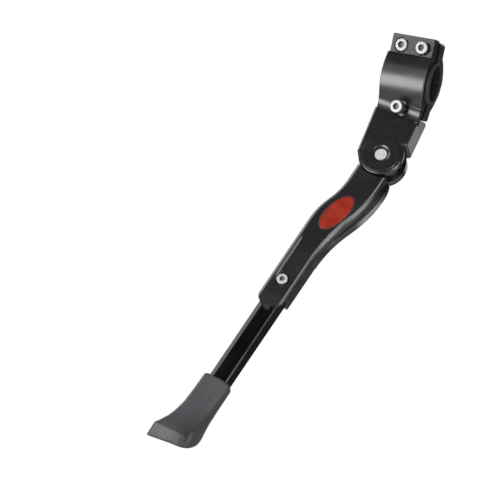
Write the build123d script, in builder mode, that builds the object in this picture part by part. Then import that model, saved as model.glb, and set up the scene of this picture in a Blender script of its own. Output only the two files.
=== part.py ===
from build123d import *
import math
import os

os.makedirs("parts", exist_ok=True)

# Adjustable side stand for a bicycle, clamped on an oval chainstay.
# Millimetres, X along the stay, Z up, -Y outward from the bicycle.

# Stay opening and sleeve
stay_half_height = 14.3
stay_half_width = 8.2
stay_end_radius = 6.5
sleeve_half_height = 16.8
sleeve_half_width = 12.3
sleeve_end_radius = 10.0
sleeve_half_length = 20.4
sleeve_slit = 0.4
strap_gap = 0.6
jaw_gap = 0.1

# Clamp strap and flange
strap_left = 19.8
strap_right = 18.4
strap_front = 16.0
strap_arc_radius = 36.0
strap_arc_rise = 1.2
strap_edge = 0.9
taper_start = 6.0
taper_end = 29.0
taper_right = 15.2
taper_bend = 20.0
flange_half_length = 17.9
flange_front = 11.4
flange_back = 2.5
flange_bottom = 18.8
flange_top = 33.5
flange_root = 4.0
flange_corner_left = 1.0
flange_corner_right = 4.5
lip_seat = 0.6
lip_notch_bottom = 30.2

# Clamp jaw
jaw_half_length = 19.4
jaw_taper_start = -4.0
jaw_taper_right = 16.2
jaw_corner = 3.0
jaw_flange_front = 1.0
jaw_flange_back = 6.8
jaw_flange_top = 32.6
jaw_flange_bottom = 21.0
jaw_saddle_back = 15.5
jaw_lip_front = 0.8
jaw_lip_back = 9.3
jaw_lip_bottom = 29.6
jaw_lip_top = 21.0
jaw_lip_corner = 2.2
boss_radius = 4.6
boss_back = 14.0
boss_edge = 0.8

# Clamp screws
screw_radius = 3.0
screw_length = 20.0
screw_head_radius = 5.0
screw_head_height = 6.0
screw_head_edge = 0.7
screw_socket_radius = 2.9
screw_tip = 0.6
screw_socket_depth = 3.2
screw_play = 0.3
screw_thread_gap = 0.05
counterbore_radius = 6.1
counterbore_depth = 5.1
flange_screw_x = 9.5
flange_screw_z = 25.1
flange_screw_loose = 3.4
valley_screw_z = 23.7
valley_screw_loose = 7.6
valley_floor = 5.2

# Pivot and the clevis of the arm
pivot_x = -4.3
pivot_y = -13.4
pivot_drop = 66.1
pivot_tilt = 68.5
pivot_toe = 8.5
leg_lean = -12.7
arm_lean = -4.0
cheek_radius = 18.0
arm_heel_drop = 8.2
arm_left_foot = 19.4
arm_left_drop = 2.4
arm_left_top = 21.4
arm_left_rise = 37.5
arm_right = 16.1
arm_right_rise = 13.4
arm_right_corner = 2.5
arm_notch_rise = 12.3
arm_top = 44.0
arm_front = 9.2
arm_back = 13.0
arm_front_edge = 2.2
arm_back_edge = 1.0
disc_radius = 15.6
disc_height = 0.7
disc_edge = 0.5
slot_front = 4.7
slot_back = 5.7
slot_radius = 16.2
wall_end = 9.6
valley_radius = 13.0
valley_bite = 0.05
valley_sink = 0.3
valley_depth = 6.0
rivet_radius = 4.0
rivet_play = 0.05
rivet_recess_radius = 6.0
rivet_recess_floor = 7.0
rivet_recess_edge = 1.2
rivet_head_radius = 4.9
rivet_head_height = 1.8
rivet_head_edge = 0.5
rivet_tail_radius = 6.0
rivet_tail_height = 2.0
washer_thickness = 0.6
washer_radius = 10.0
washer_play = 0.15

# Detent
plunger_radius = 3.2
plunger_play = 0.05
plunger_tip = 15.45
plunger_length = 10.0
plunger_dome = 3.0
plunger_stub_radius = 1.6
plunger_stub_length = 3.0
plunger_bore_end = 36.0
spring_radius = 2.3
spring_wire = 0.4
spring_pitch = 2.4
spring_gap = 0.1
notch_radius = 3.8
notch_centre = 16.9
swing_range = 90.0
plunger_turn = 90.0

# Leg housing
tongue_radius = 15.0
tongue_front = 4.0
tongue_back = 5.0
neck_half_width = 11.0
neck_reach = 32.0
bush_radius = 6.0
bush_play = 0.02
shoulder_radius = 24.6
shoulder_right = 3.1
shoulder_rise = 5.3
leg_front = 10.0
leg_back = 7.4
leg_top_left = 12.0
leg_top_right = 15.3
leg_left_start = 30.0
leg_left_end = 74.0
leg_right_start = 27.0
leg_right_end = 104.0
leg_front_edge = 4.2
leg_back_edge = 1.0
tube_axis = 8.6
sleeve_axis = 9.4
sleeve_wall_half = 11.3
sleeve_end = 145.0
tip_length = 10.9
tip_shoulder = 2.0
rim_front = 2.0
rim_right = 17.4
rim_top_right = 15.4
rim_top_reach = 15.8
rim_edge = 2.5

# Reflector
reflector_left = 3.25
reflector_drop = 60.4
reflector_turn = 76.5
reflector_recess_depth = 3.0
reflector_recess_gap = 0.2
reflector_recess_edge = 0.4
reflector_border = 1.3
reflector_base_thickness = 2.3
reflector_seat = 0.9
lens_length = 17.3
lens_width = 8.3
lens_thickness = 1.6
lens_gap = 0.1
lens_edge = 0.6

# Tube and its length screw
tube_half_width = 8.6
tube_front = 6.2
tube_back = 5.8
tube_corner = 2.4
tube_wall = 1.5
tube_play = 0.3
tube_overlap = 19.0
tube_room = 26.0
tube_end = 278.0
set_inset = 14.0
set_radius = 2.5
set_play = 0.05
set_tip_gap = 0.05
set_head_radius = 4.4
set_head_height = 4.0
set_head_edge = 0.6
set_socket_radius = 2.3
set_socket_depth = 2.4
set_recess_radius = 5.4
set_recess_floor = 8.6

# Foot
foot_grip = 51.0
foot_straight = 14.0
foot_half_top = 11.6
foot_half_toe = 14.6
foot_front = 9.4
foot_back = 8.8
foot_flare_front = 10.4
toe_front = 31.5
toe_undercut = 22.0
toe_height = 12.0
heel_reach = 8.5
heel_rise = 13.0
sole_depth = 12.5
sole_tilt = 8.8
foot_gap = 0.02
foot_left_corner = 2.6
foot_right_corner = 3.5
foot_back_corner = 3.6
foot_edge = 2.5

# Longer than any cut that goes right through
through = 60.0

stay_rise = stay_half_height - stay_end_radius
pivot = (pivot_x, pivot_y, stay_rise - pivot_drop)
arm_plane = Plane(Location(pivot, (pivot_tilt, pivot_toe, arm_lean)))
leg_plane = Plane(Location(pivot, (pivot_tilt, pivot_toe, leg_lean)))
pivot_axis = Axis(pivot, arm_plane.z_dir)
slot_middle = (slot_front - slot_back) / 2
plunger_plane = Plane(
    origin=arm_plane.from_local_coords((0, 0, slot_middle)),
    x_dir=arm_plane.x_dir,
    z_dir=arm_plane.y_dir,
)
plunger_axis = Axis(plunger_plane.origin, plunger_plane.z_dir)
across_leg = Axis(pivot, leg_plane.x_dir)
leg_axis = Axis(pivot, -leg_plane.y_dir)
notch_turn = plunger_turn + arm_lean - leg_lean
sleeve_left = sleeve_wall_half + sleeve_axis
sleeve_right = sleeve_wall_half - sleeve_axis
tip_start = sleeve_end - tip_shoulder
tip_end = sleeve_end + tip_length
set_drop = sleeve_end - set_inset
tube_top = set_drop - tube_overlap
tube_pocket_top = tube_top - tube_room
tube_depth = tube_front + tube_back
tube_middle = (tube_front - tube_back) / 2
set_length = set_recess_floor - tube_front - set_tip_gap
set_plane = Plane(
    origin=leg_plane.from_local_coords((-tube_axis, -set_drop, set_recess_floor)),
    x_dir=leg_plane.x_dir,
    z_dir=leg_plane.z_dir,
)
tube_plane = Plane(
    origin=leg_plane.from_local_coords((-tube_axis, 0, tube_middle)),
    x_dir=leg_plane.x_dir,
    z_dir=-leg_plane.y_dir,
)
foot_plane = Plane(
    origin=leg_plane.from_local_coords((-tube_axis, 0, 0)),
    x_dir=leg_plane.z_dir,
    z_dir=leg_plane.x_dir,
)
reflector_floor = leg_front - reflector_recess_depth
reflector_plane = Plane(
    origin=leg_plane.from_local_coords((-reflector_left, -reflector_drop, reflector_floor)),
    x_dir=leg_plane.x_dir,
    z_dir=leg_plane.z_dir,
)

# Seats of the three clamp screws: x, height, floor of the counterbore, gap under the head
flange_seat = flange_front - counterbore_depth
screw_seats = [
    (-flange_screw_x, stay_rise + flange_screw_z, flange_seat, 0),
    (flange_screw_x, stay_rise + flange_screw_z, flange_seat, flange_screw_loose),
    (0, stay_rise - valley_screw_z, valley_floor, valley_screw_loose),
]


# Outline of an oval made of four tangent arcs, on the stay's axis
def oval(half_height, half_width, end_radius):
    reach = half_height - end_radius
    side_radius = (half_width**2 + reach**2 - end_radius**2) / (2 * (half_width - end_radius))
    blend = end_radius / (side_radius - end_radius)
    across = blend * (side_radius - half_width)
    top = stay_rise + reach * (1 + blend)
    bottom = stay_rise - reach * (1 + blend)
    with BuildSketch() as outline:
        with BuildLine():
            ThreePointArc((-across, top), (0, stay_rise + half_height), (across, top))
            ThreePointArc((across, top), (half_width, stay_rise), (across, bottom))
            ThreePointArc((across, bottom), (0, stay_rise - half_height), (-across, bottom))
            ThreePointArc((-across, bottom), (-half_width, stay_rise), (-across, top))
        make_face()
    return outline.sketch


# Outline of the sleeve with a gap all round
def grown_sleeve(gap):
    return oval(sleeve_half_height + gap, sleeve_half_width + gap, sleeve_end_radius + gap)


# Front view of what is cut off a right end that slants inward on its way down
def slanted_end(right, start, foot_right, end):
    with BuildSketch() as outline:
        with BuildLine():
            Polyline(
                (right, stay_rise - start),
                (right + through, stay_rise - start),
                (right + through, stay_rise - through),
                (foot_right, stay_rise - through),
                (foot_right, stay_rise - end),
                close=True,
            )
        make_face()
    return outline.sketch


# Front strap of the clamp, its end slanted down to the side of the arm
strap_middle = strap_arc_radius - strap_front
strap_root = math.sqrt(strap_arc_radius**2 - (flange_bottom - strap_arc_rise) ** 2)
strap_drop = math.sqrt(strap_arc_radius**2 - (strap_middle + lip_seat) ** 2)
strap_start = (strap_middle - strap_root, stay_rise + flange_bottom)
strap_end = (-lip_seat, stay_rise + strap_arc_rise - strap_drop)
with BuildPart() as strap:
    with BuildSketch(Plane.YZ.offset(-strap_left)):
        with BuildLine():
            ThreePointArc(strap_start, (-strap_front, stay_rise + strap_arc_rise), strap_end)
            Polyline(
                strap_end,
                (-lip_seat, stay_rise),
                (-flange_back, stay_rise),
                (-flange_back, stay_rise + flange_bottom),
                strap_start,
            )
        make_face()
    extrude(amount=strap_left + strap_right)
    with BuildSketch(Plane.XZ):
        add(slanted_end(strap_right, taper_start, taper_right, taper_end))
    extrude(amount=through, both=True, mode=Mode.SUBTRACT)
    bend = (strap_right, -strap_front, stay_rise - taper_start)
    fillet(strap.edges().filter_by(Axis.Y).sort_by_distance(bend)[0], radius=taper_bend)
    ends = strap.edges().filter_by(GeomType.LINE, reverse=True)
    fillet(ends.filter_by_position(Axis.Y, -strap_front, -flange_back), radius=strap_edge)
    with BuildSketch(Plane.XZ.offset(flange_back)):
        with Locations((0, stay_rise + flange_bottom - flange_root)):
            flange_height = flange_top - flange_bottom + flange_root
            block = Rectangle(2 * flange_half_length, flange_height, align=(Align.CENTER, Align.MIN))
        fillet(block.vertices().group_by(Axis.Y)[-1].sort_by(Axis.X)[0], radius=flange_corner_left)
        fillet(block.vertices().group_by(Axis.Y)[-1].sort_by(Axis.X)[-1], radius=flange_corner_right)
    extrude(amount=flange_front - flange_back)

# Hollow between strap and arm: its axis runs as far from the strap as from the arm's face
strap_axis = Vector(0, strap_middle, stay_rise + strap_arc_rise)
arm_normal = arm_plane.z_dir
arm_slope = math.hypot(arm_normal.Y, arm_normal.Z)
valley_reach = valley_radius - valley_bite


def valley_centre(x):
    face = arm_normal.dot(Vector(*pivot) - strap_axis) + arm_front + valley_reach
    out = (face - arm_normal.X * x) / arm_slope
    fall = math.sqrt((strap_arc_radius + valley_reach) ** 2 - out**2)
    forward = (arm_normal.Y * out - arm_normal.Z * fall) / arm_slope
    upward = (arm_normal.Z * out + arm_normal.Y * fall) / arm_slope
    return strap_axis + Vector(x, forward, upward)


valley_left = valley_centre(-strap_left)
valley_run = valley_centre(taper_right) - valley_left
to_strap = (strap_axis - valley_left) / (strap_arc_radius + valley_reach)
to_arm = -arm_normal / arm_slope
valley_corners = [
    valley_left + side * (valley_radius + depth)
    for side, depth in (
        (to_strap, valley_sink),
        (to_strap, valley_depth),
        (to_arm, valley_depth),
        (to_arm, valley_sink),
    )
]
with BuildPart() as valley_fill:
    with BuildSketch(Plane.YZ.offset(-strap_left)):
        with BuildLine():
            Polyline(*[(corner.Y, corner.Z) for corner in valley_corners], close=True)
        make_face()
    extrude(amount=through, dir=valley_run)
    with BuildSketch(Plane.XZ):
        add(slanted_end(strap_right, taper_start, taper_right, taper_end))
    extrude(amount=through, both=True, mode=Mode.SUBTRACT)

# Bracket arm: the clevis for the leg, cast in one with the strap
arm_heel_left = math.sqrt(cheek_radius**2 - arm_heel_drop**2)
arm_notch_right = math.sqrt(cheek_radius**2 - arm_notch_rise**2)
with BuildPart() as bracket_arm:
    with BuildSketch(arm_plane.offset(-arm_back)) as arm_outline:
        Circle(cheek_radius)
        with BuildLine():
            Polyline(
                (0, 0),
                (-arm_heel_left, -arm_heel_drop),
                (-arm_left_foot, -arm_left_drop),
                (-arm_left_top, arm_left_rise),
                (0, arm_top),
                (arm_right, arm_top),
                (arm_right, arm_right_rise),
                (arm_notch_right, arm_notch_rise),
                close=True,
            )
        make_face()
        corner = arm_outline.vertices().sort_by_distance((arm_right, arm_right_rise))[0]
        fillet(corner, radius=arm_right_corner)
    extrude(amount=arm_back + arm_front)
    fillet(bracket_arm.edges().group_by(pivot_axis)[-1], radius=arm_front_edge)
    fillet(bracket_arm.edges().group_by(pivot_axis)[0], radius=arm_back_edge)
    with BuildSketch(arm_plane.offset(arm_front)):
        Circle(disc_radius)
    extrude(amount=disc_height)
    fillet(bracket_arm.edges().group_by(pivot_axis)[-1], radius=disc_edge)
    with BuildSketch(arm_plane.offset(rivet_recess_floor)):
        Circle(rivet_recess_radius)
    extrude(amount=through, mode=Mode.SUBTRACT)
    recess_edge = bracket_arm.edges().group_by(pivot_axis)[-1].sort_by(SortBy.RADIUS)[0]
    fillet(recess_edge, radius=rivet_recess_edge)
    with BuildSketch(arm_plane):
        Circle(rivet_radius + rivet_play)
    extrude(amount=through, both=True, mode=Mode.SUBTRACT)
    with BuildSketch(arm_plane.offset(-slot_back)):
        Circle(slot_radius)
        with BuildLine():
            Polyline(
                (-through, 0),
                (-through, -through),
                (through, -through),
                (through, wall_end),
                (0, wall_end),
                (0, 0),
                close=True,
            )
        make_face()
    extrude(amount=slot_front + slot_back, mode=Mode.SUBTRACT)
    add(strap.part)
    add(valley_fill.part)
    with BuildSketch(Plane.YZ):
        with Locations((-lip_seat, stay_rise - lip_notch_bottom)):
            Rectangle(through, through, align=Align.MIN)
        add(grown_sleeve(strap_gap))
    extrude(amount=through, both=True, mode=Mode.SUBTRACT)
    with BuildSketch(Plane(origin=valley_left, z_dir=valley_run)):
        Circle(valley_radius)
    extrude(amount=through, both=True, mode=Mode.SUBTRACT)
    with BuildSketch(plunger_plane):
        Circle(plunger_radius + plunger_play)
    extrude(amount=plunger_bore_end, mode=Mode.SUBTRACT)
    for x, z, floor, loose in screw_seats:
        with BuildSketch(Plane.XZ.offset(floor)):
            with Locations((x, z)):
                Circle(counterbore_radius)
        extrude(amount=through, mode=Mode.SUBTRACT)
        with BuildSketch(Plane.XZ):
            with Locations((x, z)):
                Circle(screw_radius + screw_play)
        extrude(amount=through, both=True, mode=Mode.SUBTRACT)
bracket_arm.part.label = "bracket_arm"
export_step(bracket_arm.part, "parts/bracket_arm.step")

# Clamp jaw: saddle behind the stay with a flange above and a lip below
with BuildPart() as clamp_jaw:
    with BuildSketch(Plane.YZ):
        with BuildLine():
            saddle_top = (jaw_flange_back, stay_rise + jaw_flange_bottom)
            saddle_foot = (jaw_lip_back, stay_rise - jaw_lip_top)
            ThreePointArc(saddle_top, (jaw_saddle_back, stay_rise), saddle_foot)
            Polyline(
                saddle_foot,
                (jaw_lip_back, stay_rise - jaw_lip_bottom),
                (jaw_lip_front, stay_rise - jaw_lip_bottom),
                (jaw_lip_front, stay_rise),
                (-jaw_flange_front, stay_rise),
                (-jaw_flange_front, stay_rise + jaw_flange_top),
                (jaw_flange_back, stay_rise + jaw_flange_top),
                saddle_top,
            )
        make_face()
        add(grown_sleeve(jaw_gap), mode=Mode.SUBTRACT)
    extrude(amount=jaw_half_length, both=True)
    lip_foot = (0, jaw_lip_back, stay_rise - jaw_lip_bottom)
    fillet(clamp_jaw.edges().filter_by(Axis.X).sort_by_distance(lip_foot)[0], radius=jaw_lip_corner)
    with BuildSketch(Plane.XZ):
        add(slanted_end(jaw_half_length, jaw_taper_start, jaw_taper_right, jaw_lip_bottom))
    extrude(amount=through, both=True, mode=Mode.SUBTRACT)
    top_right = clamp_jaw.edges().filter_by(Axis.Y).group_by(Axis.Z)[-1].sort_by(Axis.X)[-1]
    fillet(top_right, radius=jaw_corner)
    for x, z, floor, loose in screw_seats[:2]:
        with BuildSketch(Plane.XZ):
            with Locations((x, z)):
                Circle(boss_radius)
        extrude(amount=-boss_back)
    fillet(clamp_jaw.edges().group_by(Axis.Y)[-1], radius=boss_edge)
    for x, z, floor, loose in screw_seats:
        with BuildSketch(Plane.XZ):
            with Locations((x, z)):
                Circle(screw_radius + screw_thread_gap)
        extrude(amount=through, both=True, mode=Mode.SUBTRACT)
clamp_jaw.part.label = "clamp_jaw"
export_step(clamp_jaw.part, "parts/clamp_jaw.step")

# Oval sleeve on the stay, split along the back
with BuildPart() as stay_sleeve:
    with BuildSketch(Plane.YZ):
        add(oval(sleeve_half_height, sleeve_half_width, sleeve_end_radius))
        add(oval(stay_half_height, stay_half_width, stay_end_radius), mode=Mode.SUBTRACT)
        with Locations((0, stay_rise)):
            Rectangle(through, sleeve_slit, align=(Align.MIN, Align.CENTER), mode=Mode.SUBTRACT)
    extrude(amount=sleeve_half_length, both=True)
stay_sleeve.part.label = "stay_sleeve"
export_step(stay_sleeve.part, "parts/stay_sleeve.step")

# One socket-head screw, head up, with its underside on the origin
with BuildPart() as socket_screw:
    with BuildSketch():
        Circle(screw_head_radius)
    extrude(amount=screw_head_height)
    fillet(socket_screw.edges().group_by(Axis.Z)[-1], radius=screw_head_edge)
    with BuildSketch():
        Circle(screw_radius)
    extrude(amount=-screw_length)
    chamfer(socket_screw.edges().group_by(Axis.Z)[0], length=screw_tip)
    with BuildSketch(Plane.XY.offset(screw_head_height)):
        RegularPolygon(screw_socket_radius, 6)
    extrude(amount=-screw_socket_depth, mode=Mode.SUBTRACT)

# Three clamp screws, driven in by different amounts
with BuildPart() as clamp_screws:
    for x, z, floor, loose in screw_seats:
        with Locations(Plane(origin=(x, -floor - loose, z), x_dir=(1, 0, 0), z_dir=(0, -1, 0))):
            add(socket_screw.part)
clamp_screws.part.label = "clamp_screws"
export_step(clamp_screws.part, "parts/clamp_screws.step")

# Pivot rivet through both cheeks, headed over at the back
with BuildPart() as pivot_rivet:
    with BuildSketch(arm_plane.offset(rivet_recess_floor)):
        Circle(rivet_head_radius)
    extrude(amount=rivet_head_height)
    fillet(pivot_rivet.edges().group_by(pivot_axis)[-1], radius=rivet_head_edge)
    with BuildSketch(arm_plane.offset(-arm_back)):
        Circle(rivet_tail_radius)
    extrude(amount=-rivet_tail_height)
    fillet(pivot_rivet.edges().group_by(pivot_axis)[0], radius=rivet_head_edge)
    with BuildSketch(arm_plane.offset(-arm_back)):
        Circle(rivet_radius)
    extrude(amount=arm_back + rivet_recess_floor)
pivot_rivet.part.label = "pivot_rivet"
export_step(pivot_rivet.part, "parts/pivot_rivet.step")

# Washers between the cheeks and the tongue
with BuildPart() as pivot_washers:
    with BuildSketch(arm_plane.offset(slot_front - washer_thickness), arm_plane.offset(-slot_back)):
        Circle(washer_radius)
        Circle(rivet_radius + washer_play, mode=Mode.SUBTRACT)
    extrude(amount=washer_thickness)
pivot_washers.part.label = "pivot_washers"
export_step(pivot_washers.part, "parts/pivot_washers.step")

# Detent plunger, drawn back clear of the tongue
with BuildPart() as detent_plunger:
    with BuildSketch(plunger_plane.offset(plunger_tip)):
        Circle(plunger_radius)
    extrude(amount=plunger_length)
    fillet(detent_plunger.edges().group_by(plunger_axis)[0], radius=plunger_dome)
    with BuildSketch(plunger_plane.offset(plunger_tip + plunger_length)):
        Circle(plunger_stub_radius)
    extrude(amount=plunger_stub_length)
detent_plunger.part.label = "detent_plunger"
export_step(detent_plunger.part, "parts/detent_plunger.step")

# Detent spring between the plunger and the end of its bore
spring_start = plunger_tip + plunger_length + spring_wire + spring_gap
spring_height = plunger_bore_end - spring_wire - spring_gap - spring_start
with BuildPart() as detent_spring:
    with BuildLine() as coil:
        Helix(
            pitch=spring_pitch,
            height=spring_height,
            radius=spring_radius,
            center=plunger_plane.offset(spring_start).origin,
            direction=plunger_plane.z_dir,
        )
    with BuildSketch(Plane(origin=coil.line @ 0, z_dir=coil.line % 0)):
        Circle(spring_wire)
    sweep(path=coil.line, is_frenet=True)
detent_spring.part.label = "detent_spring"
export_step(detent_spring.part, "parts/detent_spring.step")

# Outline of the reflector lens, grown by a border
def reflector_oval(border):
    with BuildSketch() as outline:
        Ellipse(lens_length + border, lens_width + border, rotation=reflector_turn)
    return outline.sketch


# Outline of the tube, grown by a gap
def grown_tube(gap):
    with BuildSketch() as outline:
        RectangleRounded(2 * (tube_half_width + gap), tube_depth + 2 * gap, tube_corner + gap)
    return outline.sketch


# Outer rim of the leg housing, on the side that the leg folds to
rim_mid = ((rim_right + sleeve_right) / 2, -(leg_right_start + leg_right_end) / 2)
with BuildPart() as leg_rim:
    with BuildSketch(leg_plane.offset(-leg_back)):
        with BuildLine():
            Polyline(
                (sleeve_right, -leg_right_end),
                (0, -leg_right_end),
                (0, -rim_top_reach),
                (rim_top_right, -rim_top_reach),
            )
            TangentArc((rim_right, -leg_right_start), (rim_top_right, -rim_top_reach), tangent=(0, 1))
            TangentArc((rim_right, -leg_right_start), rim_mid, tangent=(0, -1))
            TangentArc((sleeve_right, -leg_right_end), rim_mid, tangent=(0, 1))
        make_face()
    extrude(amount=leg_back + rim_front)
    outer = leg_rim.edges().filter_by(GeomType.CIRCLE)
    chamfer(outer.group_by(pivot_axis)[-1], length=rim_edge)

# Leg housing: tongue, waisted body with the reflector, and the sleeve of the tube
left_mid = (-(leg_top_left + sleeve_left) / 2, -(leg_left_start + leg_left_end) / 2)
right_mid = ((leg_top_right + sleeve_right) / 2, -(leg_right_start + leg_right_end) / 2)
with BuildPart() as leg_housing:
    with BuildSketch(leg_plane.offset(-leg_back)):
        with BuildLine():
            Polyline(
                (-leg_top_left, -leg_left_start),
                (-leg_top_left, 0),
                (leg_top_right, 0),
                (leg_top_right, -leg_right_start),
            )
            TangentArc((leg_top_right, -leg_right_start), right_mid, tangent=(0, -1))
            TangentArc((sleeve_right, -leg_right_end), right_mid, tangent=(0, 1))
            Polyline(
                (sleeve_right, -leg_right_end),
                (sleeve_right, -tip_end),
                (-sleeve_left, -tip_end),
                (-sleeve_left, -leg_left_end),
            )
            TangentArc((-sleeve_left, -leg_left_end), left_mid, tangent=(0, 1))
            TangentArc((-leg_top_left, -leg_left_start), left_mid, tangent=(0, -1))
        make_face()
    extrude(amount=leg_back + leg_front)
    sides = leg_housing.edges().filter_by(across_leg, reverse=True)
    fillet(sides.group_by(pivot_axis)[-1], radius=leg_front_edge)
    sides = leg_housing.edges().filter_by(across_leg, reverse=True)
    fillet(sides.group_by(pivot_axis)[0], radius=leg_back_edge)
    add(leg_rim.part)
    with BuildSketch(leg_plane):
        with Locations((shoulder_right, shoulder_rise)):
            Circle(shoulder_radius)
    extrude(amount=through, both=True, mode=Mode.SUBTRACT)
    with BuildSketch(leg_plane.offset(tube_front + tube_play)):
        with Locations((-tube_axis, -sleeve_end)):
            Rectangle(through, through, align=(Align.CENTER, Align.MAX))
    extrude(amount=-through, mode=Mode.SUBTRACT)
    with BuildSketch(leg_plane):
        with BuildLine():
            ThreePointArc(
                (-sleeve_left, -tip_start),
                (-sleeve_axis, -tip_end),
                (sleeve_right, -tip_start),
            )
            Polyline(
                (sleeve_right, -tip_start),
                (sleeve_right + through, -tip_start),
                (sleeve_right + through, -tip_end - through),
                (-sleeve_left - through, -tip_end - through),
                (-sleeve_left - through, -tip_start),
                (-sleeve_left, -tip_start),
            )
        make_face()
    extrude(amount=through, mode=Mode.SUBTRACT)
    with BuildSketch(leg_plane.offset(-tongue_back)):
        Circle(tongue_radius)
        Rectangle(2 * neck_half_width, neck_reach, align=(Align.CENTER, Align.MAX))
    extrude(amount=tongue_front + tongue_back)
    with BuildSketch(leg_plane):
        Circle(bush_radius + bush_play)
        for turn in (notch_turn, notch_turn - swing_range):
            with PolarLocations(notch_centre, 1, start_angle=turn):
                Circle(notch_radius)
    extrude(amount=through, both=True, mode=Mode.SUBTRACT)
    with BuildSketch(reflector_plane):
        add(reflector_oval(reflector_border + reflector_recess_gap))
    extrude(amount=through, mode=Mode.SUBTRACT)
    recess_edge = leg_housing.edges().filter_by(GeomType.ELLIPSE).group_by(pivot_axis)[-1]
    fillet(recess_edge, radius=reflector_recess_edge)
    with BuildSketch(tube_plane.offset(tube_pocket_top)):
        add(grown_tube(tube_play))
    extrude(amount=tip_end, mode=Mode.SUBTRACT)
    with BuildSketch(leg_plane.offset(set_recess_floor)):
        with Locations((-tube_axis, -set_drop)):
            Circle(set_recess_radius)
    extrude(amount=through, mode=Mode.SUBTRACT)
    with BuildSketch(leg_plane.offset(tube_middle)):
        with Locations((-tube_axis, -set_drop)):
            Circle(set_radius + set_play)
    extrude(amount=through, mode=Mode.SUBTRACT)
leg_housing.part.label = "leg_housing"
export_step(leg_housing.part, "parts/leg_housing.step")

# Bush in the tongue, running on the rivet
with BuildPart() as pivot_bush:
    with BuildSketch(leg_plane.offset(-tongue_back)):
        Circle(bush_radius)
        Circle(rivet_radius + rivet_play, mode=Mode.SUBTRACT)
    extrude(amount=tongue_front + tongue_back)
pivot_bush.part.label = "pivot_bush"
export_step(pivot_bush.part, "parts/pivot_bush.step")

# Shallow dish that frames the reflector
with BuildPart() as reflector_base:
    with BuildSketch(reflector_plane):
        add(reflector_oval(reflector_border))
    extrude(amount=reflector_base_thickness)
    with BuildSketch(reflector_plane.offset(reflector_seat)):
        add(reflector_oval(lens_gap))
    extrude(amount=through, mode=Mode.SUBTRACT)
reflector_base.part.label = "reflector_base"
export_step(reflector_base.part, "parts/reflector_base.step")

# Reflector lens
with BuildPart() as reflector_lens:
    with BuildSketch(reflector_plane.offset(reflector_seat)):
        add(reflector_oval(0))
    extrude(amount=lens_thickness)
    fillet(reflector_lens.edges().group_by(pivot_axis)[-1], radius=lens_edge)
reflector_lens.part.label = "reflector_lens"
export_step(reflector_lens.part, "parts/reflector_lens.step")

# Length screw, its point just off the tube
with BuildPart() as length_screw:
    with BuildSketch(set_plane):
        Circle(set_radius)
    extrude(amount=-set_length)
    with BuildSketch(set_plane):
        Circle(set_head_radius)
    extrude(amount=set_head_height)
    fillet(length_screw.edges().group_by(pivot_axis)[-1], radius=set_head_edge)
    with BuildSketch(set_plane.offset(set_head_height)):
        RegularPolygon(set_socket_radius, 6)
    extrude(amount=-set_socket_depth, mode=Mode.SUBTRACT)
length_screw.part.label = "length_screw"
export_step(length_screw.part, "parts/length_screw.step")

# Leg tube
with BuildPart() as leg_tube:
    with BuildSketch(tube_plane.offset(tube_top)):
        add(grown_tube(0))
        add(grown_tube(-tube_wall), mode=Mode.SUBTRACT)
    extrude(amount=tube_end - tube_top)
leg_tube.part.label = "leg_tube"
export_step(leg_tube.part, "parts/leg_tube.step")

# Rubber foot: a boot that flares to a toe, with a rounded heel and a flat sole
foot_top = tube_end - foot_grip
foot_flare_start = foot_top + foot_straight
sole_reach = tube_end + sole_depth
sole_normal = Vector(math.sin(math.radians(sole_tilt)), 0, math.cos(math.radians(sole_tilt)))
sole_middle = leg_plane.from_local_coords((-tube_axis, -sole_reach, 0))
sole_slope = sole_normal.dot(leg_plane.z_dir) / sole_normal.dot(leg_plane.y_dir)
toe_top = sole_reach + sole_slope * toe_front - toe_height
heel_front = heel_reach - foot_back
heel_end = sole_reach + sole_slope * heel_front
foot_reach = sole_reach + through
toe_foot = toe_front - math.tan(math.radians(toe_undercut)) * (foot_reach - toe_top)
flare = foot_half_toe - foot_half_top
flare_radius = (flare**2 + (toe_top - foot_flare_start) ** 2) / (2 * flare)
flare_end = flare_radius - math.sqrt(flare_radius**2 - (foot_reach - foot_flare_start) ** 2)
foot_corners = [
    (-1, 1, foot_left_corner),
    (1, 1, foot_right_corner),
    (-1, -1, foot_back_corner),
    (1, -1, foot_back_corner),
]


# Whether an edge of the foot runs on the given side across the leg and to the front or back
def on_corner(edge, across, forward):
    place = foot_plane.to_local_coords(edge.center())
    return place.Z * across > 0 and place.X * forward > 0


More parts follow.
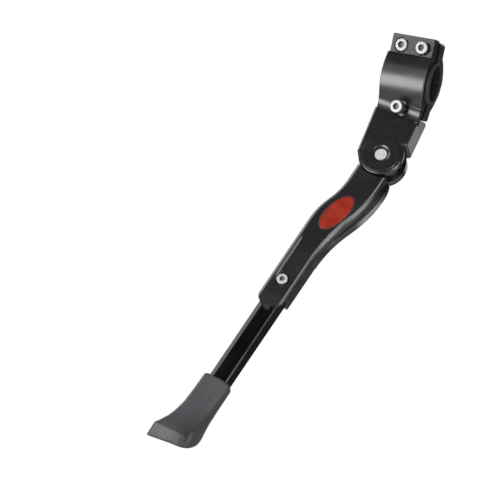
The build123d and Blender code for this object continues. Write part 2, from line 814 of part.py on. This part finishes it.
with BuildPart() as rubber_foot:
    with BuildSketch(foot_plane):
        with BuildLine():
            Polyline(
                (foot_flare_front, foot_flare_start),
                (foot_front, foot_top),
                (-foot_back, foot_top),
                (-foot_back, heel_end - heel_rise),
            )
            TangentArc((-foot_back, heel_end - heel_rise), (heel_front, heel_end), tangent=(0, 1))
            Polyline(
                (heel_front, heel_end),
                (heel_front, foot_reach),
                (toe_foot, foot_reach),
                (toe_front, toe_top),
            )
            TangentArc((foot_flare_front, foot_flare_start), (toe_front, toe_top), tangent=(0, 1))
        make_face()
    extrude(amount=through, both=True)
    with BuildSketch(Plane(origin=foot_plane.origin, x_dir=leg_plane.x_dir, z_dir=leg_plane.z_dir)):
        with BuildLine() as half:
            Polyline((0, -foot_top), (foot_half_top, -foot_top), (foot_half_top, -foot_flare_start))
            side_end = (foot_half_top + flare_end, -foot_reach)
            TangentArc((foot_half_top, -foot_flare_start), side_end, tangent=(0, -1))
            Line(side_end, (0, -foot_reach))
            mirror(half.line, about=Plane.YZ)
        make_face()
    extrude(amount=through, both=True, mode=Mode.INTERSECT)
    for across, forward, radius in foot_corners:
        corners = rubber_foot.edges().filter_by(across_leg, reverse=True)
        corners = corners.filter_by(pivot_axis, reverse=True)
        fillet(corners.filter_by(lambda edge: on_corner(edge, across, forward)), radius=radius)
    fillet(rubber_foot.edges().group_by(leg_axis)[0], radius=foot_edge)
    split(bisect_by=Plane(origin=sole_middle, z_dir=sole_normal), keep=Keep.TOP)
    with BuildSketch(tube_plane.offset(foot_top)):
        add(grown_tube(foot_gap))
    extrude(amount=tube_end + foot_gap - foot_top, mode=Mode.SUBTRACT)
rubber_foot.part.label = "rubber_foot"
export_step(rubber_foot.part, "parts/rubber_foot.step")
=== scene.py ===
import math

import bmesh
import bpy
from mathutils import Matrix, Vector


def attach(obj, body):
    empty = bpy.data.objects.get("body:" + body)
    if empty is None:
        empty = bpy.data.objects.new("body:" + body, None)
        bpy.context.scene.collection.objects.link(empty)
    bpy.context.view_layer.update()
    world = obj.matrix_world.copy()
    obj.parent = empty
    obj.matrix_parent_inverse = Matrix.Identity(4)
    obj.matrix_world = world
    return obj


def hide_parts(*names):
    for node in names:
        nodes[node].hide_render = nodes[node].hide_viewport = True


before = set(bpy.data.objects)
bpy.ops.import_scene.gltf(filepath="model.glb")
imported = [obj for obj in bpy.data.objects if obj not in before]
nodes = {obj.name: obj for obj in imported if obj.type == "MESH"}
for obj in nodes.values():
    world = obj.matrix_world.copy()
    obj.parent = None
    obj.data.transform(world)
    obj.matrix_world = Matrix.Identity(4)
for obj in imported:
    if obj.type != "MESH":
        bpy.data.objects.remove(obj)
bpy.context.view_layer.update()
scene = bpy.context.scene
scene.view_settings.view_transform = "Standard"

MM = 0.001
MICRON = 0.000001

# The photograph: its size and scale, its camera's directions, and where the stay's centre lies
IMAGE_SIZE = 480
PX_PER_MM = 1.282
VIEW = Vector((-0.411, 0.908, 0.076)).normalized()
RIGHT = Vector((0.898, 0.390, 0.204))
RIGHT = (RIGHT - VIEW * RIGHT.dot(VIEW)).normalized()
DOWN = VIEW.cross(RIGHT).normalized()
STAY_CENTRE = Vector((0, 0, 0.0078))
STAY_PIXEL = (411.462, 80.132)

# The leg at rest: its pivot, and its directions to the right, up and to the front
LEG_PIVOT = Vector((-0.0043, -0.0134, -0.0583))
LEG_X = Vector((0.964819, 0.053586, -0.257396))
LEG_Y = Vector((0.217431, 0.387769, 0.895745))
LEG_Z = Vector((0.147809, -0.920198, 0.362476))
TUBE_AXIS = -8.6  # mm, across the leg


def on_leg(x, y, z):
    """The point that lies so many mm from the pivot in the leg's own directions."""
    return LEG_PIVOT + (LEG_X * x + LEG_Y * y + LEG_Z * z) * MM


# A Mix node's colour sockets share their names with its other sockets, so they go by number
MIX_FIRST, MIX_SECOND, MIX_RESULT = 6, 7, 2


class Tree:
    """A node tree, built link by link."""

    def __init__(self, tree):
        self.tree = tree

    def add(self, kind, **settings):
        node = self.tree.nodes.new(kind)
        for key, value in settings.items():
            setattr(node, key, value)
        return node

    def put(self, value, socket):
        """A socket is linked, anything else is its value."""
        if isinstance(value, bpy.types.NodeSocket):
            self.tree.links.new(value, socket)
        else:
            socket.default_value = value

    def math(self, operation, *values):
        node = self.add("ShaderNodeMath", operation=operation)
        for socket, value in zip(node.inputs, values):
            self.put(value, socket)
        return node.outputs["Value"]

    def product(self, first, *others):
        for other in others:
            first = self.math("MULTIPLY", first, other)
        return first

    def vector(self, operation, *values):
        node = self.add("ShaderNodeVectorMath", operation=operation)
        for socket, value in zip(node.inputs, values):
            self.put(value, socket)
        return node.outputs["Value" if operation == "DOT_PRODUCT" else "Vector"]

    def ramp(self, value, start, end, low=0.0, high=1.0, kind="SMOOTHSTEP"):
        """Goes from low at start to high at end, and stays there beyond them."""
        node = self.add("ShaderNodeMapRange", interpolation_type=kind)
        self.put(value, node.inputs["Value"])
        self.put(start, node.inputs["From Min"])
        self.put(end, node.inputs["From Max"])
        self.put(low, node.inputs["To Min"])
        self.put(high, node.inputs["To Max"])
        return node.outputs["Result"]

    def past(self, value, edge, start, end):
        """Rises from start to end, in mm from an edge."""
        return self.ramp(value, edge + start * MM, edge + end * MM)


class Surface(Tree):
    """A material, in the frame's coordinates."""

    def __init__(self, name):
        self.material = bpy.data.materials.new(name)
        self.material.use_nodes = True
        super().__init__(self.material.node_tree)
        self.shader = self.tree.nodes["Principled BSDF"]
        self.place = self.add("ShaderNodeTexCoord").outputs["Object"]

    def noise(self, scale, detail=2.0, rough=0.5, stretch=None):
        source = self.vector("MULTIPLY", self.place, stretch) if stretch else self.place
        node = self.add("ShaderNodeTexNoise")
        self.put(source, node.inputs["Vector"])
        self.put(scale, node.inputs["Scale"])
        self.put(detail, node.inputs["Detail"])
        self.put(rough, node.inputs["Roughness"])
        return node.outputs["Fac"]

    def tint(self, fac, first, second):
        """Mixes two colours, each a colour or a socket."""
        node = self.add("ShaderNodeMix", data_type="RGBA")
        self.put(fac, node.inputs["Factor"])
        for value, socket in ((first, MIX_FIRST), (second, MIX_SECOND)):
            colour = (*value, 1) if isinstance(value, tuple) else value
            self.put(colour, node.inputs[socket])
        return node.outputs[MIX_RESULT]

    def bump(self, height, depth, below=None):
        """A relief of so many metres, on top of the one below."""
        node = self.add("ShaderNodeBump")
        self.put(depth, node.inputs["Distance"])
        self.put(height, node.inputs["Height"])
        if below:
            self.put(below, node.inputs["Normal"])
        return node.outputs["Normal"]

    def set(self, **values):
        for key, value in values.items():
            self.put(value, self.shader.inputs[key.replace("_", " ")])

    def leg_place(self):
        """A point's place across, along and forward on the leg, from the pivot."""
        offset = self.vector("SUBTRACT", self.place, tuple(LEG_PIVOT))
        axes = (LEG_X, LEG_Y, LEG_Z)
        return [self.vector("DOT_PRODUCT", offset, tuple(axis)) for axis in axes]

    def around(self, centre, axis):
        """How far a point lies out along an axis, how far from it, and at which turn round it."""
        side = axis.orthogonal().normalized()
        offset = self.vector("SUBTRACT", self.place, tuple(centre))
        along = self.vector("DOT_PRODUCT", offset, tuple(axis))
        first = self.vector("DOT_PRODUCT", offset, tuple(side))
        second = self.vector("DOT_PRODUCT", offset, tuple(axis.cross(side)))
        squares = self.math("MULTIPLY_ADD", first, first, self.math("MULTIPLY", second, second))
        return along, self.math("SQRT", squares), self.math("ARCTAN2", second, first)


def dress(surface, *names):
    """Gives CAD nodes their material."""
    for name in names:
        mesh = nodes[name].data
        mesh.materials.clear()
        mesh.materials.append(surface.material)


# ---- Black coats

# The part of a noise's range that is spread out to 0 and 1
BROAD, MIDDLE, PEAKS = (0.3, 0.7), (0.35, 0.65), (0.62, 0.75)

# Noise scales, in waves per metre
COAT_CLOUD, COAT_PEEL, COAT_SPECK, COAT_GRAIN = 45, 1100, 2600, 4200

# The spread of roughness, the specks' part in the colour and the grain's part of the peel's depth
COAT_SPREAD, SPECK_STRENGTH, GRAIN_PART = 0.03, 0.3, 0.3
CAST_DARK, CAST_LIGHT = (0.0140, 0.0128, 0.0152), (0.0180, 0.0166, 0.0196)
TUBE_DARK, TUBE_LIGHT = (0.0010, 0.0010, 0.0012), (0.0016, 0.0016, 0.0018)
METRE = 1.0  # depth of a bump whose height is a length


def coat(name, dark, light, roughness, peel):
    """Black coat on metal: faint clouds, paler specks and the orange peel of a baked powder."""
    m = Surface(name)
    cloud = m.ramp(m.noise(COAT_CLOUD, detail=3.0), *BROAD)
    speck = m.product(m.ramp(m.noise(COAT_SPECK, detail=1.0), *PEAKS), SPECK_STRENGTH)
    speck_colour = tuple(2 * part for part in light)
    m.relief = m.bump(m.noise(COAT_PEEL), peel)
    m.relief = m.bump(m.noise(COAT_GRAIN, detail=1.0), peel * GRAIN_PART, m.relief)
    m.set(
        Base_Color=m.tint(speck, m.tint(cloud, dark, light), speck_colour),
        Roughness=m.ramp(cloud, 0, 1, roughness - COAT_SPREAD, roughness + COAT_SPREAD),
        Normal=m.relief,
    )
    return m


def casting(name):
    """The satin coat of the castings."""
    m = coat(name, CAST_DARK, CAST_LIGHT, roughness=0.25, peel=4 * MICRON)
    m.set(IOR=1.6, Specular_IOR_Level=1.0)
    return m


# The rivet's recess: its rounded rim is evened out and slanted, so that it looks countersunk
RIM_ROUND, RIM_START, RIM_END = 1.2 * MM, 6.2 * MM, 7.2 * MM
SINK_END, SINK_SLOPE = 7.6 * MM, 0.45
CHEEK_FRONT, CHEEK_FADE = 7.4 * MM, 0.2 * MM
cast = casting("cast_coat")
along, radial, _ = cast.around(LEG_PIVOT, LEG_Z)
inward = cast.ramp(radial, RIM_END, RIM_START, 0.0, RIM_END - RIM_START, "LINEAR")
square = cast.math("SUBTRACT", RIM_ROUND ** 2, cast.product(inward, inward))
rounding = cast.math("SUBTRACT", RIM_ROUND, cast.math("SQRT", square))
sink_depth = SINK_SLOPE * (SINK_END - RIM_START)
slant = cast.ramp(radial, RIM_START, SINK_END, -sink_depth, 0.0, "LINEAR")
in_front = cast.ramp(along, CHEEK_FRONT - CHEEK_FADE, CHEEK_FRONT)
sink = cast.product(cast.math("ADD", rounding, slant), in_front)
cast.set(Normal=cast.bump(sink, METRE, cast.relief))
dress(cast, "bracket_arm", "clamp_jaw")

leg = casting("leg_coat")
across, along, forward = leg.leg_place()

# The leg's front has a low ridge beside its left edge, along the sleeve
RIDGE_FOOT, RIDGE_CREST, RIDGE_END, RIDGE_HEIGHT = -16.6 * MM, -14.4 * MM, -4 * MM, 1.4 * MM
RIDGE_UPPER, RIDGE_LOWER = (-86 * MM, -100 * MM), (-134 * MM, -122 * MM)
FRONT_ONLY = (4 * MM, 6 * MM)
ridge = leg.product(
    leg.ramp(across, RIDGE_FOOT, RIDGE_CREST),
    leg.ramp(across, RIDGE_CREST, RIDGE_END, 1.0, 0.0),
    leg.ramp(along, *RIDGE_UPPER),
    leg.ramp(along, *RIDGE_LOWER),
    leg.ramp(forward, *FRONT_ONLY),
)

# Its outer rim folds at the chamfer's lower edge: in front of the fold it faces more to the side,
# and behind it more to the front, most of all near the top
RIM_FRONT, RIM_FOLD, LEG_BACK = 2.0 * MM, -0.5 * MM, -7.4 * MM
FOLD_DEPTH, TOP_TURN = 3.0 * MM, 2.1
TURN_UPPER, TURN_LOWER = (-50 * MM, -28 * MM), (-84 * MM, -56 * MM)
FOLD_UPPER, FOLD_LOWER = (-12 * MM, -16 * MM), (-110 * MM, -62 * MM)
RIGHT_ONLY = (-3 * MM, 0.0)
rise = leg.product(
    leg.ramp(forward, RIM_FOLD, LEG_BACK, 0.0, FOLD_DEPTH, "LINEAR"),
    leg.ramp(along, *TURN_UPPER, 1.0, TOP_TURN),
    leg.ramp(along, *TURN_LOWER),
)
fall = leg.ramp(forward, RIM_FRONT, RIM_FOLD, 0.0, -FOLD_DEPTH, "LINEAR")
fold = leg.product(
    leg.math("ADD", fall, rise),
    leg.past(forward, LEG_BACK, 0.1, 0.6),
    leg.ramp(across, *RIGHT_ONLY),
    leg.ramp(along, *FOLD_UPPER),
    leg.ramp(along, *FOLD_LOWER),
)
leg.set(Normal=leg.bump(fold, METRE, leg.bump(ridge, RIDGE_HEIGHT, leg.relief)))
dress(leg, "leg_housing")

# The tube's front is slightly crowned towards its two corners
CROWN_START, CROWN_END, CROWN_HEIGHT = 2.5 * MM, 8.6 * MM, 2.3 * MM
gloss = coat("tube_coat", TUBE_DARK, TUBE_LIGHT, roughness=0.15, peel=2 * MICRON)
across, _, _ = gloss.leg_place()
outward = gloss.math("ABSOLUTE", gloss.math("SUBTRACT", across, TUBE_AXIS * MM))
crown = gloss.ramp(outward, CROWN_START, CROWN_END, 1.0, 0.0, "LINEAR")
crown = gloss.product(crown, gloss.math("SUBTRACT", 2.0, crown))
gloss.set(IOR=1.5, Specular_IOR_Level=0.75, Normal=gloss.bump(crown, CROWN_HEIGHT, gloss.relief))
dress(gloss, "leg_tube")


# ---- Rubber and plastic

MOULD_CLOUD, MOULD_SPREAD = 55, 0.06


def moulded(name, dark, light, roughness, grain, depth):
    """Moulded rubber or plastic: clouded, with a fine grain from the mould."""
    m = Surface(name)
    cloud = m.ramp(m.noise(MOULD_CLOUD, detail=4.0, rough=0.6), *BROAD)
    texture = m.noise(grain, detail=4.0, rough=0.6)
    m.set(
        Base_Color=m.tint(cloud, dark, light),
        Roughness=m.ramp(texture, *BROAD, roughness - MOULD_SPREAD, roughness + MOULD_SPREAD),
        Normal=m.bump(texture, depth),
    )
    return m


rubber = moulded(
    "foot_rubber", dark=(0.076, 0.072, 0.080), light=(0.094, 0.089, 0.098),
    roughness=0.44, grain=900, depth=8 * MICRON,
)
dress(rubber, "rubber_foot")
liner = moulded(
    "sleeve_plastic", dark=(0.040, 0.039, 0.042), light=(0.050, 0.048, 0.052),
    roughness=0.5, grain=1400, depth=20 * MICRON,
)
dress(liner, "stay_sleeve")
border = moulded(
    "reflector_frame", dark=(0.055, 0.036, 0.042), light=(0.075, 0.050, 0.056),
    roughness=0.35, grain=1500, depth=10 * MICRON,
)
dress(border, "reflector_base")


# ---- The rubber foot, rounder than its CAD solid towards the right and under the heel

# The CAD solid in mm: down from the pivot, half its width, and its reach to the front and back
FOOT_HALF, FOOT_WIDENING, WIDENING_POWER = 11.6, 3.9, 1.5
WIDENING_START, WIDENING_LENGTH = 242, 56
FOOT_FRONT, TOE_FLARE, FLARE_POWER, TOE_REACH = 9.6, 21.9, 2.4, 31.5
FLARE_START, FLARE_LENGTH = 232, 58
FOOT_BACK, HEEL_CORNER = 8.8, 3.6
SOLE_DROP, SOLE_SLOPE = 290.5, 0.4146

# How it is rounded: the corners' strength and where it sets in, as a part of the half width,
# where toe and heel keep more of their corners, and the heel's lift
CORNER_ROUND, TOE_KEPT, HEEL_KEPT = 0.6, 0.8, 0.6
CORNER_SIDE, CORNER_FADE = 0.02, (0.1, 0.6)
TOE_DOWN, TOE_FORWARD, HEEL_DOWN = (276, 288), (12, 22), (240, 288)
HEEL_LIFT, HEEL_START, LIFT_REACH, SOLE_EDGE = 13, 20, 30, 2
ARC_END = 0.999  # short of the arc's upright end
VOXEL, WELD = 0.7 * MM, 2 * MICRON
HEEL_FRONT, HEEL_TOP = 21 * MM, -255 * MM
HEEL_PASSES, ALL_PASSES, SMOOTH_FACTOR = 24, 5, 0.5


def clamped(value, high=1.0):
    return min(max(value, 0.0), high)


def eased(value, start, end):
    part = clamped((value - start) / (end - start))
    return part * part * (3 - 2 * part)


def arc_drop(part):
    """How far a quarter circle of radius 1 has dropped at this part of its width."""
    return 1 - math.sqrt(1 - part * part)


def worn_round(u, s, w):
    """Rounds the foot's right corners and lifts the heel's underside.

    The point lies u mm to the right of the pivot, s mm down and w mm to the front.
    """
    widening = max(s - WIDENING_START, 0) / WIDENING_LENGTH
    half = FOOT_HALF + FOOT_WIDENING * widening ** WIDENING_POWER
    flare = max(s - FLARE_START, 0) / FLARE_LENGTH
    front = min(FOOT_FRONT + TOE_FLARE * flare ** FLARE_POWER, TOE_REACH)
    reach = front if w > 0 else FOOT_BACK
    x, y = (u - TUBE_AXIS) / half, w / reach
    if x > CORNER_SIDE:
        toe = eased(s, *TOE_DOWN) * eased(w, *TOE_FORWARD)
        heel = eased(s, *HEEL_DOWN) if w < 0 else 0.0
        strength = CORNER_ROUND * eased(x, *CORNER_FADE)
        strength *= (1 - TOE_KEPT * toe) * (1 - HEEL_KEPT * heel)
        shrink = (max(x, abs(y)) / math.hypot(x, y)) ** strength
        u, w = TUBE_AXIS + x * shrink * half, y * shrink * reach
    sole = SOLE_DROP + SOLE_SLOPE * w
    lift = HEEL_LIFT * arc_drop(clamped((HEEL_START - w) / (HEEL_START + FOOT_BACK), ARC_END))
    corner = HEEL_CORNER * arc_drop(clamped((HEEL_CORNER - FOOT_BACK - w) / HEEL_CORNER))
    lift = max(lift - corner, 0.0)
    return u, s - lift * eased(s, sole - LIFT_REACH, sole - SOLE_EDGE), w


def remeshed(mesh):
    """An evenly meshed copy of a mesh."""
    source = mesh.copy()
    welded = bmesh.new()
    welded.from_mesh(source)
    bmesh.ops.remove_doubles(welded, verts=welded.verts, dist=WELD)
    welded.to_mesh(source)
    welded.free()
    block = bpy.data.objects.new("foot_block", source)
    scene.collection.objects.link(block)
    remesh = block.modifiers.new("even", "REMESH")
    remesh.mode = "VOXEL"
    remesh.voxel_size = VOXEL
    depsgraph = bpy.context.evaluated_depsgraph_get()
    result = bpy.data.meshes.new_from_object(block.evaluated_get(depsgraph))
    bpy.data.objects.remove(block)
    bpy.data.meshes.remove(source)
    return result


def smooth(shape, verts, passes):
    axes = {"use_axis_x": True, "use_axis_y": True, "use_axis_z": True}
    for _ in range(passes):
        bmesh.ops.smooth_vert(shape, verts=verts, factor=SMOOTH_FACTOR, **axes)


def in_heel(vertex):
    offset = vertex.co - LEG_PIVOT
    return offset.dot(LEG_Z) < HEEL_FRONT and offset.dot(LEG_Y) < HEEL_TOP


boot_mesh = remeshed(nodes["rubber_foot"].data)
shaped = bmesh.new()
shaped.from_mesh(boot_mesh)
for vertex in shaped.verts:
    offset = vertex.co - LEG_PIVOT
    u, s, w = (offset.dot(axis) / MM for axis in (LEG_X, -LEG_Y, LEG_Z))
    u, s, w = worn_round(u, s, w)
    vertex.co = on_leg(u, -s, w)
smooth(shaped, [vertex for vertex in shaped.verts if in_heel(vertex)], HEEL_PASSES)
smooth(shaped, shaped.verts, ALL_PASSES)
shaped.to_mesh(boot_mesh)
shaped.free()
for face in boot_mesh.polygons:
    face.use_smooth = True
boot_mesh.materials.clear()
boot_mesh.materials.append(rubber.material)
boot = bpy.data.objects.new("rubber_boot", boot_mesh)
scene.collection.objects.link(boot)
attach(boot, "foot")
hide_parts("rubber_foot")


# ---- Metal

TOOL_MARKS, STEEL_SPOTS, MARK_DEPTH = 900, 350, 1.5 * MICRON
STEEL_SMOOTHER, STEEL_ROUGHER = 0.05, 0.07
PLATE_DARK, PLATE_LIGHT = (0.64, 0.64, 0.65), (0.74, 0.74, 0.75)
# Colours of painted shade: grey in the sockets, darker on the heads' sides and on the shanks under
# the heads
SOCKET_SHADE, SIDE_SHADE = (0.22, 0.22, 0.22), (0.14, 0.14, 0.145)
KNURLS, KNURL_DEPTH, THREAD_DEPTHS = 44.0, 60 * MICRON, 2.5


def steel(name, dark, light, roughness, stretch=(1, 1, 1), shine=1.0):
    """Bright metal with fine marks of the tool, drawn out along its turning."""
    m = Surface(name)
    marks = m.noise(TOOL_MARKS, detail=3.0, rough=0.6, stretch=stretch)
    spots = m.ramp(m.noise(STEEL_SPOTS), *MIDDLE)
    m.colour = m.tint(spots, dark, light)
    m.relief = m.bump(marks, MARK_DEPTH)
    m.set(
        Base_Color=m.colour,
        Roughness=m.ramp(marks, *BROAD, roughness - STEEL_SMOOTHER, roughness + STEEL_ROUGHER),
        Metallic=shine,
        Normal=m.relief,
    )
    return m


def screws(name, heads, axis, socket_radius, head_radius, head_height, pitch):
    """Plated socket screws: painted shade darkens the socket, the head's side and the shank;
    knurled round the head, threaded below it.
    """
    m = steel(name, PLATE_DARK, PLATE_LIGHT, roughness=0.34, stretch=(1, 0.15, 1), shine=0.25)
    colour, relief = m.colour, m.relief
    for head in heads:
        along, radial, turn = m.around(head, axis)
        head_top, head_end = 0.0, -head_height
        inside = m.product(
            m.past(radial, socket_radius, 0.2, 0.0),
            m.past(along, head_top, -0.03, -0.25),
        )
        side = m.product(
            m.past(radial, head_radius, -0.15, -0.05),
            m.past(radial, head_radius, 0.6, 0.4),
            m.past(along, head_top, -0.8, -1.0),
        )
        shank = m.product(
            m.past(along, head_end, 0.0, -0.2),
            m.past(radial, head_radius, -1.6, -1.8),
        )
        knurl = m.product(side, m.math("SINE", m.product(turn, KNURLS)))
        wind = m.math("MULTIPLY_ADD", along, math.tau / pitch, turn)
        thread = m.product(shank, m.math("SINE", wind))
        # Painted shade: the colour darkens in the socket, and more on the head's side and the shank
        colour = m.tint(inside, colour, SOCKET_SHADE)
        colour = m.tint(m.math("MAXIMUM", side, shank), colour, SIDE_SHADE)
        height = m.math("MULTIPLY_ADD", thread, THREAD_DEPTHS, knurl)
        relief = m.bump(height, KNURL_DEPTH, relief)
    m.set(Base_Color=colour, Normal=relief)
    return m


CLAMP_AXIS = Vector((0, -1, 0))
CLAMP_HEADS = [
    Vector(head) * MM for head in ((-9.5, -12.3, 32.9), (9.5, -15.7, 32.9), (0, -18.8, -15.9))
]
LOCK_HEAD = on_leg(TUBE_AXIS, -131, 12.6)
clamp = screws(
    "screw_steel", CLAMP_HEADS, CLAMP_AXIS,
    socket_radius=2.9 * MM, head_radius=5.0 * MM, head_height=6.0 * MM, pitch=1.0 * MM,
)
dress(clamp, "clamp_screws")
lock = screws(
    "lock_screw_steel", [LOCK_HEAD], LEG_Z,
    socket_radius=2.3 * MM, head_radius=4.0 * MM, head_height=4.0 * MM, pitch=0.8 * MM,
)
dress(lock, "length_screw")

zinc = steel(
    "rivet_zinc", dark=(0.72, 0.72, 0.73), light=(0.82, 0.82, 0.83), roughness=0.46, shine=0.2,
)
dress(zinc, "pivot_rivet")
inner = steel(
    "inner_steel", dark=(0.42, 0.42, 0.43), light=(0.52, 0.52, 0.53),
    roughness=0.32, stretch=(1, 1, 0.2),
)
dress(inner, "pivot_washers", "detent_plunger", "detent_spring")
bronze = steel(
    "bush_bronze", dark=(0.42, 0.29, 0.12), light=(0.52, 0.37, 0.17),
    roughness=0.4, stretch=(1, 1, 0.3),
)
dress(bronze, "pivot_bush")


# ---- The reflector's lens, with its square prism cells

CELLS_PER_METRE, CELL_DEPTH, CELL_STRENGTH = 600, 60 * MICRON, 0.4
CELL_RANGE = (0.1, 0.7)
LENS_CLOUD, LENS_ROUGHNESS = 140, (0.16, 0.26)
LENS_DARK, LENS_LIGHT = (0.34, 0.028, 0.014), (0.43, 0.041, 0.019)
# Painted shade: the darker red towards the edges of each prism cell
CELL_SHADE = (0.28, 0.018, 0.009)

lens = Surface("reflector_red")
grid = lens.add("ShaderNodeCombineXYZ")
lens.put(lens.vector("DOT_PRODUCT", lens.place, tuple(LEG_X)), grid.inputs["X"])
lens.put(lens.vector("DOT_PRODUCT", lens.place, tuple(LEG_Y)), grid.inputs["Y"])
voronoi = lens.add("ShaderNodeTexVoronoi", feature="F1", distance="EUCLIDEAN")
lens.put(grid.outputs["Vector"], voronoi.inputs["Vector"])
lens.put(CELLS_PER_METRE, voronoi.inputs["Scale"])
lens.put(0.0, voronoi.inputs["Randomness"])
cells = voronoi.outputs["Distance"]
# Painted shade: the red darkens towards each cell's edges
shade = lens.product(lens.ramp(cells, *CELL_RANGE), CELL_STRENGTH)
cloud = lens.ramp(lens.noise(LENS_CLOUD, detail=3.0), *MIDDLE)
lens.set(
    Base_Color=lens.tint(shade, lens.tint(cloud, LENS_DARK, LENS_LIGHT), CELL_SHADE),
    Roughness=lens.ramp(cloud, 0, 1, *LENS_ROUGHNESS),
    Normal=lens.bump(cells, CELL_DEPTH),
)
dress(lens, "reflector_lens")


# ---- Studio light

LAMP_TARGET = Vector((-0.03, -0.05, -0.14))


def toward(side, rise):
    """The direction so many degrees to the camera's right, seen from the stand, and so many up."""
    front = Vector((-VIEW.x, -VIEW.y, 0)).normalized()
    right = Vector((-front.y, front.x, 0))
    side, rise = math.radians(side), math.radians(rise)
    level = front * math.cos(side) + right * math.sin(side)
    return level * math.cos(rise) + Vector((0, 0, math.sin(rise)))


def softbox(name, direction, width, height, radiance, reach=1.0, roll=0):
    """A soft lamp that looks at the stand's middle, rolled so many degrees about its own axis."""
    data = bpy.data.lights.new(name, "AREA")
    data.shape = "RECTANGLE"
    data.size = width
    data.size_y = height
    data.energy = radiance * math.pi * width * height
    lamp = bpy.data.objects.new(name, data)
    lamp.visible_camera = False
    spot = LAMP_TARGET + direction * reach
    aim = (LAMP_TARGET - spot).to_track_quat("-Z", "Y").to_matrix().to_4x4()
    lamp.matrix_world = Matrix.Translation(spot) @ aim @ Matrix.Rotation(math.radians(roll), 4, "Z")
    scene.collection.objects.link(lamp)
    return lamp


softbox("front", toward(-47, -2), 0.7, 0.44, radiance=4.2, reach=0.9)
fill = softbox("fill", toward(-25, 15), 0.8, 0.8, radiance=1.6)
fill.visible_glossy = False
for card in (
    softbox("front_card", toward(-49, 25), 0.5, 0.34, radiance=0.55),
    softbox("right_card", toward(52, -3), 2.4, 0.32, radiance=2.6, roll=-22),
    softbox("left_card", toward(-108, 36), 0.9, 0.5, radiance=1.8),
    softbox("upper_card", toward(46, 19), 0.5, 0.22, radiance=2.6, roll=-22),
):
    card.visible_diffuse = False

# The camera sees white. Gloss shows a white backdrop behind the stand and a dark room elsewhere,
# and the coats are lit by an even dim room.
BACKDROP_EDGE, BACKDROP_FULL = 0.745, 0.80  # cosine from the view's direction
HORIZON_LOW, HORIZON_HIGH = -0.07, -0.01
DARK_ROOM, DIM_ROOM = 0.045, 0.36
WHITE = (1, 1, 1, 1)

world = bpy.data.worlds.new("studio")
scene.world = world
world.use_nodes = True
sky = Tree(world.node_tree)
direction = sky.add("ShaderNodeTexCoord").outputs["Generated"]
facing = sky.vector("DOT_PRODUCT", direction, tuple(VIEW))
height = sky.vector("DOT_PRODUCT", direction, (0, 0, 1))
backdrop = sky.ramp(facing, BACKDROP_EDGE, BACKDROP_FULL)
above = sky.ramp(height, HORIZON_LOW, HORIZON_HIGH)
paths = sky.add("ShaderNodeLightPath").outputs
seen = sky.math("MAXIMUM", paths["Is Camera Ray"], paths["Is Transmission Ray"])
glossy = paths["Is Glossy Ray"]
mirrored = sky.product(glossy, sky.math("MULTIPLY_ADD", backdrop, above, DARK_ROOM))
others = sky.math("SUBTRACT", 1.0, glossy)
level = sky.math("MAXIMUM", seen, sky.math("MULTIPLY_ADD", others, DIM_ROOM, mirrored))
background = world.node_tree.nodes["Background"]
sky.put(WHITE, background.inputs["Color"])
sky.put(level, background.inputs["Strength"])

# The floor lies below the camera's view, and glows a little for the camera to look pale
FLOOR_HALF, FLOOR_LEVEL = 4.0, -0.95
PAPER_GRAIN, PAPER_GLOW = 300, 0.5
PAPER_DARK, PAPER_LIGHT = (0.84, 0.84, 0.84), (0.88, 0.88, 0.88)
corners = [
    (FLOOR_HALF * x, FLOOR_HALF * y, FLOOR_LEVEL) for x, y in ((-1, -1), (1, -1), (1, 1), (-1, 1))
]
floor_mesh = bpy.data.meshes.new("floor")
floor_mesh.from_pydata(corners, [], [(0, 1, 2, 3)])
floor = bpy.data.objects.new("floor", floor_mesh)
scene.collection.objects.link(floor)
paper = Surface("floor_paper")
camera_ray = paper.add("ShaderNodeLightPath").outputs["Is Camera Ray"]
paper.set(
    Base_Color=paper.tint(paper.noise(PAPER_GRAIN), PAPER_DARK, PAPER_LIGHT),
    Roughness=0.9,
    Emission_Color=WHITE,
    Emission_Strength=paper.product(camera_ray, PAPER_GLOW),
)
floor_mesh.materials.append(paper.material)


# ---- Camera

CAMERA_REACH = 0.6
camera_data = bpy.data.cameras.new("camera")
camera_data.type = "ORTHO"
camera_data.ortho_scale = IMAGE_SIZE / PX_PER_MM * MM
camera = bpy.data.objects.new("camera", camera_data)
pixels_right, pixels_down = (IMAGE_SIZE / 2 - pixel for pixel in STAY_PIXEL)
middle = STAY_CENTRE + (RIGHT * pixels_right + DOWN * pixels_down) * (MM / PX_PER_MM)
orientation = Matrix((RIGHT, -DOWN, -VIEW)).transposed().to_4x4()
camera.matrix_world = Matrix.Translation(middle - VIEW * CAMERA_REACH) @ orientation
scene.collection.objects.link(camera)
scene.camera = camera
